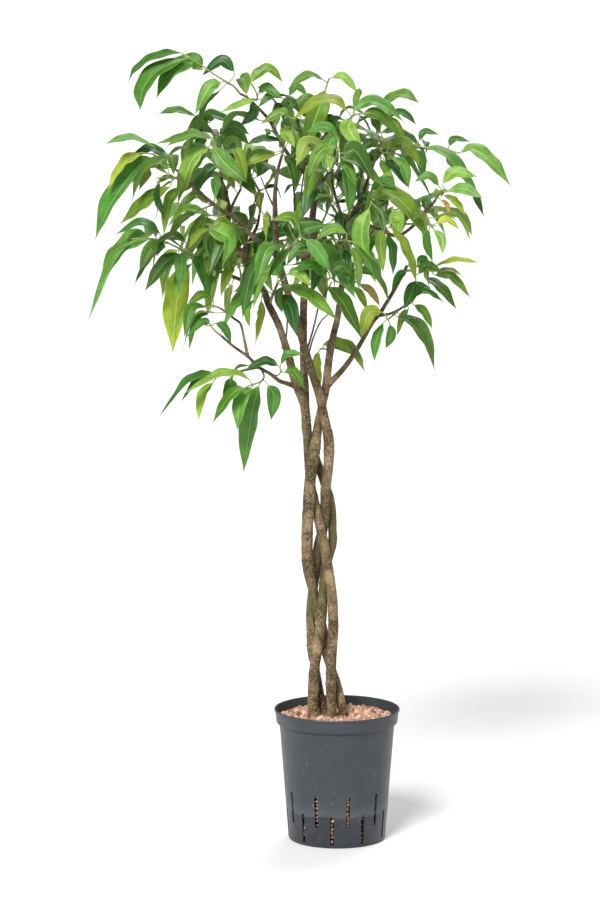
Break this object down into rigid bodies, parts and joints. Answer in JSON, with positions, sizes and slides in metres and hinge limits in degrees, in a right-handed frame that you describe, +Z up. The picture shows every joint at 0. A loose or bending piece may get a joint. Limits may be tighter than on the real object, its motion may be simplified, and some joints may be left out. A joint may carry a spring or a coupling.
{
  "type": "potted ficus",
  "caption": "Indoor weeping fig with a braided bare trunk and an open crown of drooping pointed leaves, rooted in clay granules in a slotted tapering culture pot.",
  "frame": {"origin": "middle of the pot's flat base, on the surface it stands on", "axes": "+Z up along the pot's axis, -Y towards the plant's front, +X to the viewer's right"},
  "size_m": [0.5995, 0.4336, 1.1308],
  "materials": {
    "pot_plastic": "satin slate grey, slightly dusty",
    "fired_clay": "porous, unglazed",
    "bark_a": "grey-brown bark with pale pores",
    "bark_b": "grey-brown bark with pale pores",
    "bark_c": "grey-brown bark with pale pores",
    "bark_d": "grey-brown bark with pale pores",
    "leaf_dark": "waxy leaf, soft sheen",
    "leaf_green": "waxy leaf, soft sheen",
    "leaf_light": "waxy leaf, soft sheen",
    "leaf_olive": "waxy leaf, soft sheen",
    "leaf_young": "waxy leaf, soft sheen"
  },
  "bodies": {
    "root": {"pot": "pot_plastic", "clay_granules": "fired_clay", "stem_a": "bark_a", "stem_b": "bark_b", "stem_c": "bark_c", "stem_d": "bark_d", "spray_top_left_tip": "leaf_green", "spray_top_left_inner": "leaf_green", "spray_top_left_low": "leaf_olive", "spray_left_upper": "leaf_green", "spray_left_facing": "leaf_green", "spray_left_outer": "leaf_light", "spray_left_mid": "leaf_olive", "spray_left_under": "leaf_olive", "spray_far_left": "leaf_green", "spray_left_hanging": "leaf_green", "spray_left_big_leaves": "leaf_young", "spray_inner_left": "leaf_green", "spray_inner_hanging": "leaf_light", "spray_inner_olive": "leaf_olive", "spray_low_left_up": "leaf_light", "spray_low_left_mid": "leaf_green", "spray_low_left_tip": "leaf_olive", "spray_low_left_front": "leaf_olive", "spray_low_left_right": "leaf_green", "spray_behind_stems": "leaf_young", "spray_front_long": "leaf_green", "spray_front_upper": "leaf_green", "spray_mid_left": "leaf_green", "spray_mid_dark": "leaf_dark", "spray_dark_cluster": "leaf_dark", "spray_mid_front_right": "leaf_light", "spray_orange": "leaf_young", "spray_low_right": "leaf_green", "spray_low_right_front": "leaf_green", "spray_top": "leaf_green", "spray_top_left_up": "leaf_green", "spray_top_right": "leaf_light", "spray_top_right_tip": "leaf_green", "spray_crown_front": "leaf_green", "spray_far_right": "leaf_green", "spray_right_upper": "leaf_olive", "spray_right_tip": "leaf_young", "spray_upper_right": "leaf_green", "spray_right_big": "leaf_olive", "spray_right_hanging": "leaf_olive", "spray_right_dark": "leaf_olive", "spray_right_lime": "leaf_light", "spray_right_low": "leaf_olive", "spray_right_blue": "leaf_green", "spray_far_centre": "leaf_green", "spray_far_centre_low": "leaf_green", "spray_far_left_top": "leaf_green", "spray_far_left_mid": "leaf_green", "spray_far_left_side": "leaf_green", "spray_far_right_mid": "leaf_green", "spray_far_right_low": "leaf_green", "spray_far_right_top": "leaf_green", "spray_far_top": "leaf_green", "spray_far_low_left": "leaf_green"}
  },
  "joints": []
}
